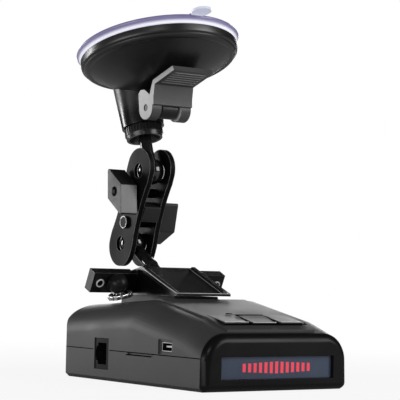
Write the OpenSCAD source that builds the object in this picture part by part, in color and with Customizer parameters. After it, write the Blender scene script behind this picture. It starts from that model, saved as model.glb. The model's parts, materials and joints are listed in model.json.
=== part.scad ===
// Windscreen radar detector: a two-part case with its works, held by a double-ball arm
// under a lever-locked suction cup.
// Frame: millimetres, +Z up, origin at the centre of the case's flat bottom.
// The display faces -Y, the horn antenna looks out along +Y, the power jack is on the -X side.

/* [Case] */
// Width of the case across X
case_w = 76.8; // [74:0.2:80]
// Distance from the origin to the front face and to the rear face
case_half_l = 56.6; // [56:0.1:58]
// Height of the highest point of the roof, without the raised panel
case_h = 36.8; // [36:0.1:38]
// Height of the line where the two shells meet
seam_z = 13.8; // [13:0.1:15]
// Wall thickness of the two shells
wall = 2.2; // [1.8:0.1:2.6]
// Depth of the glossy front frame
bezel_depth = 3.6; // [3:0.1:5]
// Radius of the top's long side edges at the front
shoulder_r = 12; // [11:0.5:13]
// Width of the raised panel along the top
panel_w = 47; // [44:0.5:50]
// Height of the raised panel above the shoulders
panel_rise = 0.8; // [0.5:0.1:1.2]

/* [Keys] */
// Width of one key
key_w = 12; // [11:0.1:12.2]
// Length of the middle key
key_l = 10.6; // [9:0.1:11]
// Length of the two outer keys, which reach further back
side_key_l = 13.6; // [11:0.1:14]
// Distance between neighbouring keys
key_pitch = 14.9; // [14.5:0.1:15]
// Clearance round a key
key_gap = 0.35; // [0.25:0.05:0.6]

/* [Mount] */
// Length of the cross bar
bar_l = 73.6; // [60:0.1:80]
// Width of the bent bracket plate
bracket_w = 30; // [26:0.5:34]
// Diameter of the clamping balls of the arm
ball_d = 12.7; // [12:0.1:13.5]
// Thickness of one arm plate
plate_t = 2.6; // [2.4:0.1:3]
// Gap between the two arm plates
plate_gap = 9.2; // [8.6:0.1:9.4]
// Radius of the round ends of an arm plate
plate_end_r = 9.7; // [9.4:0.1:10.4]

/* [Suction cup] */
// Radius of the black cup housing
cup_r = 37.5; // [34:0.5:40]
// Angle of the cup's axis from the vertical, leaning back
cup_tilt = 16; // [10:1:20]
// Distance from the cup's axis to the neck's axis
neck_offset = 21; // [20:0.5:23]
// Width of the locking lever
lever_w = 22; // [20:0.5:23]

/* [Hidden] */
$fn = 64;

eps = 0.01;
slice = 0.02;
fit = 0.05;
run = 0.15;

// Allowances: how far cuts run past a face, and small working gaps
over = 1;
port_gap = 0.3;
usb_gap = 0.5;
slide_gap = 0.2;
head_gap = 0.2;
head_sink = 0.5;
side_past = 0.1;

// Steps round the case's corners
corner_steps = 6;
front_steps = 14;
rear_arc_from = 8;
rear_arc_to = 80;
foot_r = 3;
foot_share = 0.7;

// Latch slot, sound slots and lens in the case's walls
latch_slot = [0.7, 19.6, 2];
latch_slot_y = -18;
latch_slot_drop = 1.2;
speaker_at = [14, -12];
grille_side = 3;
grille_pitch = 3;
grille_w = 18;
grille_slot = 1.4;
grille_corner = 0.6;
lens_w = 24;
lens_h = 6;
lens_z = 7.4;
lens_in = 0.1;
lens_flange = [27, 1.4, 8.4];
lens_flange_in = 0.9;

// Raised roof panel, rail seat and screws
panel_swell = 0.7;
panel_tail = 0.2;
seat_y0 = 4;
seat_past_rail = 3;
seat_cut_h = 8;
screw_bite = 9;
rail_screw_y = 13;
case_screw_sink = 0.4;
case_screw_l = 20;
hex_r = 1.2;

// Bezel stations: share of its depth, and how far each is drawn in
bezel_at = [0.3, 0.6, 0.85];
bezel_in = [0.3, 1.1, 2.4, 4];
window_lip = 1.2;
window_sink = 0.4;
window_gap = 0.1;
panel_y = 3.5;
panel_t = 2.4;
carrier_drop = 1.4;
carrier_t = 1.2;
carrier_trim = 1.8;

// Circuit board, shield, antenna and speaker
board_half_w = 33;
board_front = -46;
board_corner = [23, 42];
board_corner_r = 10;
can_at = [-22, -34];
can_size = [34, 38];
can_wall = 0.4;
horn_y = 12;
horn_size = [28, 37, 15.4];
horn_wall = 1.4;
guide_at = [3, 12];
guide_w = 12;
guide_h = 6;
guide_l = 10;
guide_z = 4.6;
speaker_r = 13.5;
speaker_h = 5.4;
cone_seat_r = 11.8;
cone_seat_h = 1.2;
cone_r = 11.4;
cone_throat_r = 5;
cone_h = 3;

// Sockets
jack_sink = 0.4;
jack_back = 2;
jack_notch = [1.4, 6.4];
jack_step = [0.7, 3.2];
jack_step_at = 1.3;
usb_recess = [1.4, 3, 2.6];
usb_wall = 0.35;
usb_back = 0.6;
usb_tongue_at = [1.2, 1.6, 1.7];
usb_tongue_t = 0.8;

// Keys and their board
key_cut = 3;
key_root = 0.2;
key_tuck = 0.1;
key_board_front = 4;
key_board_w = 9;
switch_w = 6;
plunger_r = 1.7;

// Bracket
base_step = [0.1, 0.9];
channel_past = 1.5;
seat_clear_y = 3.6;
apex_share = 0.52;
spigot_gap = 0.3;
spigot_cut = 4;
rim_root = 0.3;
rim_apex_in = [0.6, 0.1];
relief_steps = 4;
bar_screw_sink = 1.6;
bar_screw_cut = 6;
bar_screw_head = 1.5;
bar_screw_head_r = 1.7;
bar_screw_proud = 0.4;
bar_hex_r = 1;
bar_hex_depth = 0.6;
boss_root = 1.1;
knurl_shy = 0.2;
knurl_out = 0.3;
knurl_r = 0.95;
nut_dish = 0.4;

// Arm
arm_end_out = 1.1;
spacer_y = -5.5;
spacer_size = [8, 7.6];
bolt_out = 1.4;
bolt_gap = 0.1;
bolt_in_knob = 1.5;
lower_knob_turn = 16;
upper_knob_turn = -51;

// Neck, collar, pull rod and lever pin
seat_back = 1.6;
seat_l = 9;
seat_boss_h = 4;
seat_boss_r = [6.2, 5.4];
knurl_band = 3.6;
knurl_step = 0.3;
knurl_cut_out = 0.15;
knurl_cut_r = 0.45;
knurl_cut_l = 4;
neck_bore_past = 8;
tab_root = 8;
rod_head_at = 2.6;
rod_head_r = 7.5;
rod_head_h = 1.8;
rod_eye_at = 4;
rod_eye_y = 0.4;
rod_eye_h = 4.8;
pin_in = 0.3;

// Case: its side profile runs through these stations from front to back
half_w = case_w / 2;
shell_front = -case_half_l + bezel_depth;
rear_r = 3;
rear_arc_r = 9;
rear_slope = 4;
bottom_round = 1.6;
arc_steps = 12;
nose_slope = 18.6;
roof_slope = 11.1;
nose_start = -38.3;
nose_h = case_h + nose_start * tan(roof_slope);
front_h = nose_h - (nose_start - shell_front) * tan(nose_slope);
rear_y = case_half_l - rear_arc_r;
rear_h = case_h - rear_y * tan(rear_slope);
panel_front = -51.4;
panel_end = 6;
seat_w = 24;
seat_h = 38.4;

// Case inside
boss_r = 3.4;
post_w = 6;
peg_x = 23.2;
peg_w = 2.4;
screw_r = 1.2;
screw_head_r = 2.3;
screw_head_h = 1.8;
front_screw = [29.2, -41.5];
rear_screw = [26.5, 41];
board_z = 13;
board_t = 1.6;
horn_mouth_z = board_z + board_t + horn_wall;
can_h = 5;

// Keys: their frame lies on the nose of the raised panel
key_y = -41.2;
key_z = nose_h + panel_rise + (key_y - nose_start) * tan(nose_slope);
key_proud = [0.5, 0.45];
key_tilt = [7.5, 6];
key_cap_h = 3.2;
key_flange_l = 7;
key_flange_out = 0.8;
key_flange_h = 0.9;
key_stem_r = 1.8;
key_stem_l = 1.15;
key_corner = 0.8;
key_board_z = -9.4;
key_board_t = 1;
switch_h = 2;
plunger_h = 0.6;

// Sockets on the -X side
jack_y = 23.5;
jack_z = 12;
jack_size = [13, 11.6, 13.6];
jack_hole = [11, 7, 9.6];
usb_y = -27.4;
usb_z = 17.4;
usb_shell = [9, 7.7, 3.9];

// Display
window_w = 60;
window_h = 9.6;
window_z = 9.9;
window_t = 1.4;
window_recess = 2;

// Rail and bracket
rail_w = 16;
rail_neck_w = 9;
rail_l = 38;
rail_y = 28;
rail_z = seat_h;
rail_lip = 1.4;
rail_h = 3.2;
apex = [28.8, 51.4];
front_foot = [1.6, 40];
rear_foot = [52, 46.4];
sheet_t = 1.3;
sheet_toe = 2.6;
rim_w = 2;
rim_h = 0.8;
base_w = 27;
base_y0 = 5;
base_y1 = 50;
base_z0 = rail_z + 0.3;

// Cross bar: centre, size of its section and lean
bar_pos = [37.7, 44.7];
bar_t = 5;
bar_h = 10;
bar_lean = 25.5;
bar_screw_x = 32.8;
bar_screw_r = 1.7;
boss_neck_r = 3;
boss_pos = [-25.4, 31.2, 43.3];
boss_ball_r = 4.6;
nut_tilt = 14;
nut_r = 5.7;
nut_h = 2.1;
nut_flutes = 14;
nut_stem_r = 1.9;

// Arm: ball centres in the X = 0 plane, as [y, z]
lower_ball = [58.8, 62.4];
upper_ball = [44.8, 96.9];
neck_ball_w = -27.5;
ball_r = ball_d / 2;
plate_in = plate_gap / 2;
plate_out = plate_in + plate_t;
arm_lean = atan2(lower_ball[0] - upper_ball[0], upper_ball[1] - lower_ball[1]);
arm_l = norm(upper_ball - lower_ball);
bolt_offset = 11;
bolt_r = 2.2;
bolt_head_r = 3;
hole_out_r = 3.6;
knob_long = 24.4;
knob_short = 13;
knob_t = 9;
knob_round = 1;
knob_gap = 1.5;
plate_waist = 1.4;
waist_r = 90;
stud_foot = [41.6, 48.6];
stud_lean = 12.5;
stud_neck_r = 2.9;
stud_spigot_r = 3;
stud_spigot_l = 2.6;
stud_flange_r = 5.6;
stud_flange_h = 3.6;
stud_gap = 0.25;
stud_knee_r = 3.4;
stud_knee_h = 3.4;

// Cup frame: origin at the rim's centre, +Z along the cup's axis towards the glass
cup_pos = [0, 40.3, 152.4];
rod_r = 2.95;
neck_r_top = 12;
neck_r_low = 10.2;
neck_top = -7;
neck_low = -29.5;
neck_bore_r = 8.2;
seat_r = 8;
neck_ball_r = 6;
collar_r = 9.2;
collar_low_r = 8.6;
collar_top = -29.8;
collar_low = -35.4;
collar_mouth_r = 7.4;
collar_throat_r = 5.9;
cup_top = -16.4;
collar_waist = -31.2;
flutes = 36;
pull_r = 3.2;
pull_eye_r = 4.6;
pull_eye_w = 8.6;
pivot = [1.2, -27.4];
pin_r = 1.5;
knuckle_r = 5.6;
knuckle_w = 5.4;
tab_x = -4.6;
tab_w = 2.9;
tab_t = 1.1;
tab_v = 43.4;
tab_r = 4.6;
tab_neck = 3;

// ---------- helpers ----------

// Points of an arc about c, from angle a0 to a1
function arc(c, r, a0, a1, n) =
    [for (i = [0:n]) c + r * [cos(a0 + (a1 - a0) * i / n), sin(a0 + (a1 - a0) * i / n)]];

// Endless bar under the roof line through two [y, z] points, with shoulders of
// radius full_r in n facets, shrunk by d on every side
module roof_bar(p0, p1, full_r, n, d) {
    slope = atan2(p1[1] - p0[1], p1[0] - p0[0]);
    w = half_w - d;
    r = full_r - d;
    translate([0, p0[0], p0[1]])
        rotate([90 + slope, 0, 0])
            translate([0, 0, -2 * case_half_l])
                linear_extrude(4 * case_half_l)
                    polygon(concat(
                        [[-w, -2 * case_h], [w, -2 * case_h]],
                        arc([w - r, -full_r], r, 0, 90, n),
                        arc([-w + r, -full_r], r, 90, 180, n)));
}

// Points of a corner arc whose two end facets run on to a distance of reach
function open_arc(c, r, a0, a1, n, reach) =
    let (step = (a1 - a0) / n, pts = arc(c, r, a0 + step / 2, a1 - step / 2, n - 1))
    concat(
        [pts[0] + reach * unit(pts[0] - pts[1])],
        pts,
        [pts[n - 1] + reach * unit(pts[n - 1] - pts[n - 2])]);

// Upper body of the case, shrunk by d on every side, standing on z0
module case_body(d, z0) {
    corner = [half_w - rear_r, case_half_l - rear_r];
    intersection() {
        roof_bar([shell_front, front_h], [nose_start, nose_h], shoulder_r, arc_steps, d);
        roof_bar([nose_start, nose_h], [0, case_h], shoulder_r + 0.5, arc_steps - 1, d);
        roof_bar([0, case_h], [rear_y, rear_h], shoulder_r + 1, arc_steps, d);
        side_extrude(-case_w, case_w)
            polygon(concat(
                [[shell_front, z0], [case_half_l - d, z0]],
                [[case_half_l - d, rear_h - rear_arc_r]],
                arc([rear_y, rear_h - rear_arc_r], rear_arc_r - d, rear_arc_from, rear_arc_to, arc_steps - 2),
                [[rear_y - rear_arc_r, rear_h + 2], [shell_front, rear_h + 2 * rear_arc_r]]));
        translate([0, 0, -case_h])
            linear_extrude(4 * case_h)
                polygon(concat(
                    [[-case_w, -case_w], [case_w, -case_w]],
                    open_arc(corner, rear_r - d / 2, 0, 90, corner_steps, 2 * rear_r),
                    open_arc([-corner[0], corner[1]], rear_r - d / 2, 90, 180, corner_steps, 2 * rear_r)));
    }
}

// Plan outline of the case between the bezel and the rear, shrunk by d
function case_plan(d) = concat(
    [[-half_w + d, shell_front], [half_w - d, shell_front]],
    arc([half_w - rear_r, case_half_l - rear_r], rear_r - d, 0, 90, 2 * corner_steps),
    arc([-half_w + rear_r, case_half_l - rear_r], rear_r - d, 90, 180, 2 * corner_steps));

// Children copied to the four case screws
module at_screws() {
    for (side = [-1, 1]) {
        translate([side * front_screw[0], front_screw[1], 0])
            children();
        translate([side * rear_screw[0], rear_screw[1], 0])
            children();
    }
}

// Box with its centre at c
module box(c, s) {
    translate(c - s / 2)
        cube(s);
}

// Upright box with round vertical edges, standing on z = 0
module round_box(w, l, h, r) {
    linear_extrude(h)
        union() {
            square([w - 2 * r, l], center = true);
            square([w, l - 2 * r], center = true);
            for (x = [-1, 1])
                for (y = [-1, 1])
                    translate([x * (w / 2 - r), y * (l / 2 - r)])
                        circle(r);
        }
}

// Frame of the keys: +Z out of the sloping nose
module key_frame() {
    translate([0, key_y, key_z])
        rotate([nose_slope, 0, 0])
            children();
}

// Extrusion of a [y, z] outline along X, between x0 and x1
module side_extrude(x0, x1) {
    translate([x0, 0, 0])
        rotate([90, 0, 90])
            linear_extrude(x1 - x0)
                children();
}

// Cylinder along X, between x0 and x1, at a [y, z] point
module x_rod(p, r, x0, x1) {
    translate([x0, p[0], p[1]])
        rotate([0, 90, 0])
            cylinder(r = r, h = x1 - x0);
}

// Frame of the arm: origin midway between the balls, +Z from the lower to the upper ball
module arm_frame() {
    mid = (lower_ball + upper_ball) / 2;
    translate([0, mid[0], mid[1]])
        rotate([arm_lean, 0, 0])
            children();
}

// Frame of the suction cup
module cup_frame() {
    translate(cup_pos)
        rotate([-cup_tilt, 0, 0])
            children();
}

// Frame of the ball joint in the cup's neck
module neck_frame() {
    cup_frame()
        translate([0, neck_offset, neck_ball_w])
            children();
}

// ---------- case ----------

module bottom_cover() {
    color([0.09, 0.09, 0.1])
        difference() {
            union() {
                difference() {
                    hull() {
                        translate([0, 0, bottom_round])
                            linear_extrude(seam_z - bottom_round)
                                polygon(case_plan(0));
                        linear_extrude(slice)
                            polygon(case_plan(bottom_round));
                    }
                    translate([0, 0, wall])
                        linear_extrude(seam_z)
                            polygon(case_plan(wall));
                }
                at_screws()
                    translate([0, 0, wall - eps])
                        cylinder(r = boss_r, h = board_z - wall);
            }
            at_screws() {
                translate([0, 0, -eps])
                    cylinder(r = screw_r + fit, h = board_z);
                translate([0, 0, -eps])
                    cylinder(r = screw_head_r + head_gap, h = screw_head_h + head_sink);
            }
            jack_cutout();
            laser_cutout();
            speaker_slots();
            pry_slot();
        }
}

// Room for the power socket in the side walls
module jack_cutout() {
    box([-half_w, jack_y, jack_z], [2 * wall + 2 * over, jack_size[1] + port_gap, jack_size[2] + port_gap]);
}

// Shallow slot at the seam where a tool can part the shells
module pry_slot() {
    translate([-half_w - eps, latch_slot_y, seam_z - latch_slot_drop])
        cube(latch_slot);
}

// Room for the laser window in the rear wall
module laser_cutout() {
    box([0, case_half_l, lens_z], [lens_w + port_gap, 2 * wall + 2 * over, lens_h + port_gap]);
}

// Sound slots under the speaker
module speaker_slots() {
    for (i = [-grille_side:grille_side])
        translate([speaker_at[0], speaker_at[1] + grille_pitch * i, -eps])
            round_box(grille_w - 2 * abs(i), grille_slot, 2 * wall, grille_corner);
}

module top_cover() {
    color([0.12, 0.12, 0.13])
        difference() {
            union() {
                difference() {
                    union() {
                        case_body(0, seam_z);
                        raised_panel();
                        rail_seat();
                    }
                    case_body(wall, seam_z - 1);
                    front_doorway();
                }
                intersection() {
                    case_body(wall / 2, seam_z);
                    cover_posts();
                }
            }
            key_holes();
            jack_cutout();
            usb_cutout();
            at_screws()
                translate([0, 0, seam_z - 1])
                    cylinder(r = screw_r + fit, h = screw_bite);
            for (y = [-1, 1])
                translate([0, rail_y + y * rail_screw_y, case_h - 3 * wall])
                    cylinder(r = screw_r + fit, h = 4 * wall);
        }
}

// Square screw posts that hang from the cover, and the pegs of the key board
module cover_posts() {
    at_screws()
        translate([0, 0, board_z + board_t])
            cube_centred_xy(post_w, post_w, case_h);
    key_frame()
        for (x = [-1, 1])
            translate([x * peg_x, 0.5, key_board_z + key_board_t])
                cube_centred_xy(peg_w, peg_w, -key_board_z);
}

// Panel standing proud along the middle of the nose, fading out under the bracket
module raised_panel() {
    side_extrude(-panel_w / 2, panel_w / 2)
        polygon([
            [panel_front, front_h - 1],
            [panel_front, nose_h + panel_rise + (panel_front - nose_start) * tan(nose_slope)],
            [nose_start, nose_h + panel_rise],
            [0, case_h + panel_rise * panel_swell],
            [panel_end, case_h - panel_tail],
            [0, case_h - 1],
            [nose_start, nose_h - 1]]);
}

// Flat seat for the mounting rail
module rail_seat() {
    side_extrude(-seat_w / 2, seat_w / 2)
        polygon([
            [seat_y0, case_h - over],
            [seat_y0 + over, seat_h],
            [rail_y + rail_l / 2 + 1, seat_h],
            [rail_y + rail_l / 2 + seat_past_rail, rear_h - over]]);
}

// Opening behind the bezel
module front_doorway() {
    translate([0, shell_front - 1, seam_z - 1])
        linear_extrude(front_h - seam_z - wall + 1)
            square([case_w - 2 * shoulder_r, seat_cut_h], center = true);
}

// Length of key i, and how far its middle lies behind the middle key's
function key_len(i) = i == 0 ? key_l : side_key_l;
function key_back(i) = (key_len(i) - key_l) / 2;

module key_holes() {
    key_frame()
        for (i = [-1, 0, 1])
            translate([i * key_pitch, key_back(i), -key_cap_h - key_cut])
                round_box(key_w + 2 * key_gap, key_len(i) + 2 * key_gap, key_cap_h + 2 * key_cut, key_corner);
}

// Recess and hole for the USB socket
module usb_cutout() {
    box([-half_w, usb_y, usb_z], [2 * wall + 4 * over, usb_shell[1] + usb_gap, usb_shell[2] + usb_gap]);
    box([-half_w, usb_y, usb_z], usb_recess + [0, usb_shell[1], usb_shell[2]]);
}

module front_bezel() {
    color([0.02, 0.02, 0.025])
        difference() {
            hull() {
                bezel_slice(shell_front, 0);
                bezel_slice(shell_front - bezel_depth * bezel_at[0], bezel_in[0]);
                bezel_slice(shell_front - bezel_depth * bezel_at[1], bezel_in[1]);
                bezel_slice(shell_front - bezel_depth * bezel_at[2], bezel_in[2]);
                bezel_slice(-case_half_l + slice, bezel_in[3]);
            }
            translate([0, -case_half_l - 1, window_z - window_h / 2])
                cube_centred_x(window_w, bezel_depth + 2, window_h);
            translate([0, -case_half_l + window_recess, window_z - window_h / 2 - window_lip])
                cube_centred_x(window_w + 2 * window_lip, bezel_depth, window_h + 2 * window_lip);
        }
}

// Box centred on X only
module cube_centred_x(w, l, h) {
    translate([-w / 2, 0, 0])
        cube([w, l, h]);
}

// Outline of the front frame, shrunk by d
module bezel_slice(y, d) {
    translate([0, y, 0])
        rotate([90, 0, 0])
            linear_extrude(slice)
                polygon(concat(
                    arc([-half_w + foot_r, foot_r], foot_r - d * foot_share, 180, 270, corner_steps),
                    arc([half_w - foot_r, foot_r], foot_r - d * foot_share, 270, 360, corner_steps),
                    arc([half_w - shoulder_r, front_h - shoulder_r], shoulder_r - d, 0, 90, front_steps),
                    arc([-half_w + shoulder_r, front_h - shoulder_r], shoulder_r - d, 90, 180, front_steps)));
}

module display_window() {
    color([0.1, 0.12, 0.17])
        union() {
            translate([0, -case_half_l + window_recess - window_sink, window_z - window_h / 2 + window_gap])
                cube_centred_x(window_w - 2 * window_gap, window_t, window_h - 2 * window_gap);
            translate([0, -case_half_l + window_recess + slice, window_z - window_h / 2 - over])
                cube_centred_x(window_w + 2, window_t, window_h + 2);
        }
}

module display_module() {
    color([0.3, 0.08, 0.1]) {
        translate([0, -case_half_l + panel_y, window_z - window_h / 2])
            cube_centred_x(window_w - 2 * over, panel_t, window_h);
        translate([0, -case_half_l + panel_y + panel_t, window_z - window_h / 2 - carrier_drop])
            cube_centred_x(window_w + over, carrier_t, window_h - carrier_trim);
    }
}

module main_board() {
    color([0.05, 0.3, 0.16])
        difference() {
            translate([0, 0, board_z])
                linear_extrude(board_t)
                    difference() {
                        polygon(concat(
                            [[-board_half_w, board_front], [board_half_w, board_front]],
                            arc(board_corner, board_corner_r, 0, 90, corner_steps),
                            arc([-board_corner[0], board_corner[1]], board_corner_r, 90, 180, corner_steps)));
                        translate([-half_w, jack_y - jack_size[1] / 2 - port_gap])
                            square([jack_size[0] + over, jack_size[1] + 2 * port_gap]);
                    }
            at_screws()
                translate([0, 0, board_z - 1])
                    cylinder(r = screw_r + fit, h = board_t + 2);
        }
}

module shield_can() {
    color([0.75, 0.76, 0.78])
        difference() {
            translate([can_at[0], can_at[1], board_z + board_t])
                cube([can_size[0], can_size[1], can_h]);
            translate([can_at[0] + can_wall, can_at[1] + can_wall, board_z + board_t - over])
                cube([can_size[0] - 2 * can_wall, can_size[1] - 2 * can_wall, can_h + over - can_wall]);
        }
}

module horn_antenna() {
    color([0.7, 0.71, 0.73])
        difference() {
            translate([-horn_size[0] / 2, horn_y, board_z + board_t])
                cube(horn_size);
            hull() {
                translate([horn_wall - horn_size[0] / 2, horn_y + horn_size[1], horn_mouth_z])
                    cube([horn_size[0] - 2 * horn_wall, slice, horn_size[2] - 2 * horn_wall]);
                translate([-guide_w / 2, horn_y + guide_at[1], board_z + board_t + guide_z])
                    cube([guide_w, slice, guide_h]);
            }
            translate([-guide_w / 2, horn_y + guide_at[0], board_z + board_t + guide_z])
                cube([guide_w, guide_l, guide_h]);
        }
}

module laser_lens() {
    color([0.25, 0.02, 0.03])
        union() {
            box([0, case_half_l - wall / 2 - lens_in, lens_z], [lens_w, wall + 2 * lens_in, lens_h]);
            box([0, case_half_l - wall - lens_flange_in, lens_z], lens_flange);
        }
}

module speaker() {
    color([0.16, 0.16, 0.17])
        translate([speaker_at[0], speaker_at[1], wall])
            difference() {
                cylinder(r = speaker_r, h = speaker_h);
                translate([0, 0, -eps])
                    cylinder(r = cone_seat_r, h = cone_seat_h);
                translate([0, 0, 1])
                    cylinder(r1 = cone_r, r2 = cone_throat_r, h = cone_h);
            }
}

module power_jack() {
    color([0.03, 0.03, 0.03])
        difference() {
            translate([-half_w + jack_sink, jack_y - jack_size[1] / 2, jack_z - jack_size[2] / 2])
                cube(jack_size);
            translate([-half_w, jack_y - jack_hole[1] / 2, jack_z - jack_hole[2] / 2])
                cube([jack_hole[0], jack_hole[1], jack_hole[2]]);
            translate([-half_w, jack_y + jack_hole[1] / 2 - eps, jack_z - jack_notch[1] / 2])
                cube([jack_hole[0] - jack_back, jack_notch[0], jack_notch[1]]);
            translate([-half_w, jack_y + jack_hole[1] / 2 + jack_step_at, jack_z - jack_step[1] / 2])
                cube([jack_hole[0] - jack_back, jack_step[0], jack_step[1]]);
        }
}

module usb_port() {
    color([0.75, 0.76, 0.78])
        translate([-half_w + 1, usb_y - usb_shell[1] / 2, usb_z - usb_shell[2] / 2]) {
            difference() {
                cube(usb_shell);
                translate([-over, usb_wall, usb_wall])
                    cube([usb_shell[0] - usb_back, usb_shell[1] - 2 * usb_wall, usb_shell[2] - 2 * usb_wall]);
            }
            translate(usb_tongue_at)
                cube([usb_shell[0] - usb_tongue_at[0], usb_shell[1] - 2 * usb_tongue_at[1], usb_tongue_t]);
        }
}

module key_board() {
    color([0.06, 0.3, 0.18])
        key_frame()
            union() {
                translate([-peg_x - peg_w, -key_board_front, key_board_z])
                    cube([2 * (peg_x + peg_w), key_board_w, key_board_t]);
                for (i = [-1, 0, 1])
                    translate([i * key_pitch, 0, key_board_z + key_board_t]) {
                        translate([-switch_w / 2, -switch_w / 2, 0])
                            cube([switch_w, switch_w, switch_h]);
                        cylinder(r = plunger_r, h = switch_h + plunger_h);
                    }
            }
}

// One key: a cap that stands proud at the front, the flange that keeps it in and
// the stem that presses the switch
module key(i) {
    kind = i == 0 ? 1 : 0;
    color([0.14, 0.14, 0.15])
        key_frame()
            translate([i * key_pitch, 0, 0])
                union() {
                    intersection() {
                        translate([0, key_back(i), -key_cap_h - key_root])
                            round_box(key_w, key_len(i), key_cap_h + key_cut, key_corner);
                        rotate([-key_tilt[kind], 0, 0])
                            translate([0, 0, key_proud[kind] - 2 * key_cap_h])
                                cube_centred_xy(2 * side_key_l, 3 * side_key_l, 2 * key_cap_h);
                        translate([0, 0, -key_cap_h - key_tuck])
                            cube_centred_xy(2 * side_key_l, 3 * side_key_l, 2 * key_cap_h);
                    }
                    translate([0, 0, -key_cap_h - key_flange_h - key_tuck])
                        cube_centred_xy(key_w + 2 * key_flange_out, key_flange_l,
                            key_flange_h + key_tuck / 2);
                    translate([0, 0, -key_cap_h - key_flange_h - key_stem_l])
                        cylinder(r = key_stem_r, h = key_stem_l + key_root);
                }
}

// Box centred on X and Y
module cube_centred_xy(w, l, h) {
    translate([-w / 2, -l / 2, 0])
        cube([w, l, h]);
}

module left_key() { key(-1); }

module centre_key() { key(0); }

module right_key() { key(1); }

module case_screws() {
    color([0.6, 0.6, 0.62])
        at_screws()
            translate([0, 0, case_screw_sink])
                difference() {
                    union() {
                        cylinder(r = screw_head_r, h = screw_head_h);
                        cylinder(r = screw_r, h = case_screw_l);
                    }
                    translate([0, 0, -eps])
                        cylinder(r = hex_r, h = over, $fn = 6);
                }
}

// ---------- bracket ----------

// T-shaped section of the rail, grown by d
module rail_section(d) {
    polygon([
        [-rail_neck_w / 2 - d, -d],
        [rail_neck_w / 2 + d, -d],
        [rail_neck_w / 2 + d, rail_h - rail_lip - d],
        [rail_w / 2 + d, rail_h - rail_lip - d],
        [rail_w / 2 + d, rail_h + d],
        [-rail_w / 2 - d, rail_h + d],
        [-rail_w / 2 - d, rail_h - rail_lip - d],
        [-rail_neck_w / 2 - d, rail_h - rail_lip - d]]);
}

module mounting_rail() {
    color([0.55, 0.56, 0.58])
        difference() {
            translate([0, rail_y + rail_l / 2, rail_z])
                rotate([90, 0, 0])
                    linear_extrude(rail_l)
                        rail_section(0);
            for (y = [-1, 1])
                translate([0, rail_y + y * rail_screw_y, rail_z - over])
                    cylinder(r = screw_r + fit, h = rail_h + 2);
        }
}

module bracket_base() {
    color([0.03, 0.03, 0.035])
        difference() {
            side_extrude(-base_w / 2, base_w / 2)
                polygon([
                    [base_y0, base_z0],
                    [base_y1, base_z0],
                    [base_y1, rear_foot[1] - base_step[1]],
                    [apex[0], apex[1] - sheet_t],
                    [base_y0, front_foot[1] + base_step[0]]]);
            translate([0, base_y1 + 1, rail_z])
                rotate([90, 0, 0])
                    linear_extrude(base_y1 - rail_y + rail_l / 2 + channel_past)
                        rail_section(slide_gap);
            translate([-seat_w / 2 - slide_gap, seat_clear_y, base_z0 - 2 * over])
                cube([seat_w + 2 * slide_gap, base_y1, seat_h + slide_gap - base_z0 + 2 * over]);
            side_extrude(-base_w, base_w)
                sheet_clear();
            bar_hollow(0);
            stud_bore();
        }
}

// Space of the cross bar, grown by d
module bar_hollow(d) {
    side_extrude(-bar_l / 2, bar_l / 2)
        translate(bar_pos)
            rotate(bar_lean)
                square([bar_t + 2 * d, bar_h + 2 * d], center = true);
}

// Unit vector and normal of the sheet from one [y, z] point to another
function unit(v) = v / norm(v);
function left_of(v) = [-v[1], v[0]];

// Outline of the bent sheet as [y, z], with its underside lowered by d
module sheet_outline(d) {
    front_n = left_of(unit(apex - front_foot));
    rear_n = left_of(unit(rear_foot - apex));
    polygon([
        front_foot - [sheet_toe, sheet_t + d],
        front_foot - [0, sheet_t + d],
        apex - (front_n + rear_n) * (sheet_t + d) * apex_share,
        rear_foot - rear_n * (sheet_t + d),
        rear_foot,
        apex,
        front_foot,
        front_foot - [sheet_toe, slide_gap]]);
}

// Bore for the spigot of the ball stud
module stud_bore() {
    stud_frame()
        translate([0, 0, -stud_spigot_l - spigot_gap])
            cylinder(r = stud_spigot_r + fit, h = stud_spigot_l + spigot_cut);
}

// Frame of the ball stud's swivel: origin on the sheet, +Z along its axis
module stud_frame() {
    translate([0, stud_foot[0], stud_foot[1]])
        rotate([-stud_lean, 0, 0])
            children();
}

module bracket_plate() {
    front = unit(apex - front_foot);
    front_n = left_of(front);
    half = bracket_w / 2;
    color([0.04, 0.04, 0.045])
        difference() {
            union() {
                side_extrude(-half, half)
                    sheet_outline(0);
                for (side = [-1, 1])
                    side_extrude(side * (half - rim_w / 2) - rim_w / 2, side * (half - rim_w / 2) + rim_w / 2)
                        polygon([
                            front_foot - front_n * rim_root,
                            front_foot + front_n * rim_h + front,
                            apex + front_n * rim_h - front * rim_apex_in[0],
                            apex - front_n * rim_root - front * rim_apex_in[1]]);
            }
            stud_bore();
        }
}

module cross_bar() {
    color([0.05, 0.05, 0.055])
        difference() {
            union() {
                bar_hollow(-0.02);
                translate(boss_pos)
                    sphere(r = boss_ball_r);
                translate(boss_pos)
                    rotate([-90, 0, 0])
                        cylinder(r = boss_neck_r, h = bar_pos[0] - boss_pos[1]);
            }
            for (side = [-1, 1])
                bar_screw_place(side)
                    translate([0, 0, -bar_screw_sink])
                        cylinder(r = bar_screw_r + fit, h = bar_screw_cut);
            boss_frame()
                translate([0, 0, -boss_ball_r - 1])
                    cylinder(r = nut_stem_r + fit, h = boss_ball_r + boss_root);
            side_extrude(-bracket_w / 2 - side_past, bracket_w / 2 + side_past)
                sheet_clear();
            rail_clearance();
            stud_bore();
        }
}

// Everything above the underside of the bent sheet
module sheet_clear() {
    for (lift = [0:relief_steps])
        translate([0, lift * (sheet_t - side_past)])
            sheet_outline(0.02);
}

// The bar passes over the rail with this much air
module rail_clearance() {
    translate([0, rail_y + rail_l / 2 + 2, rail_z])
        rotate([90, 0, 0])
            linear_extrude(rail_l + relief_steps)
                rail_section(rim_root);
}

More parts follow.
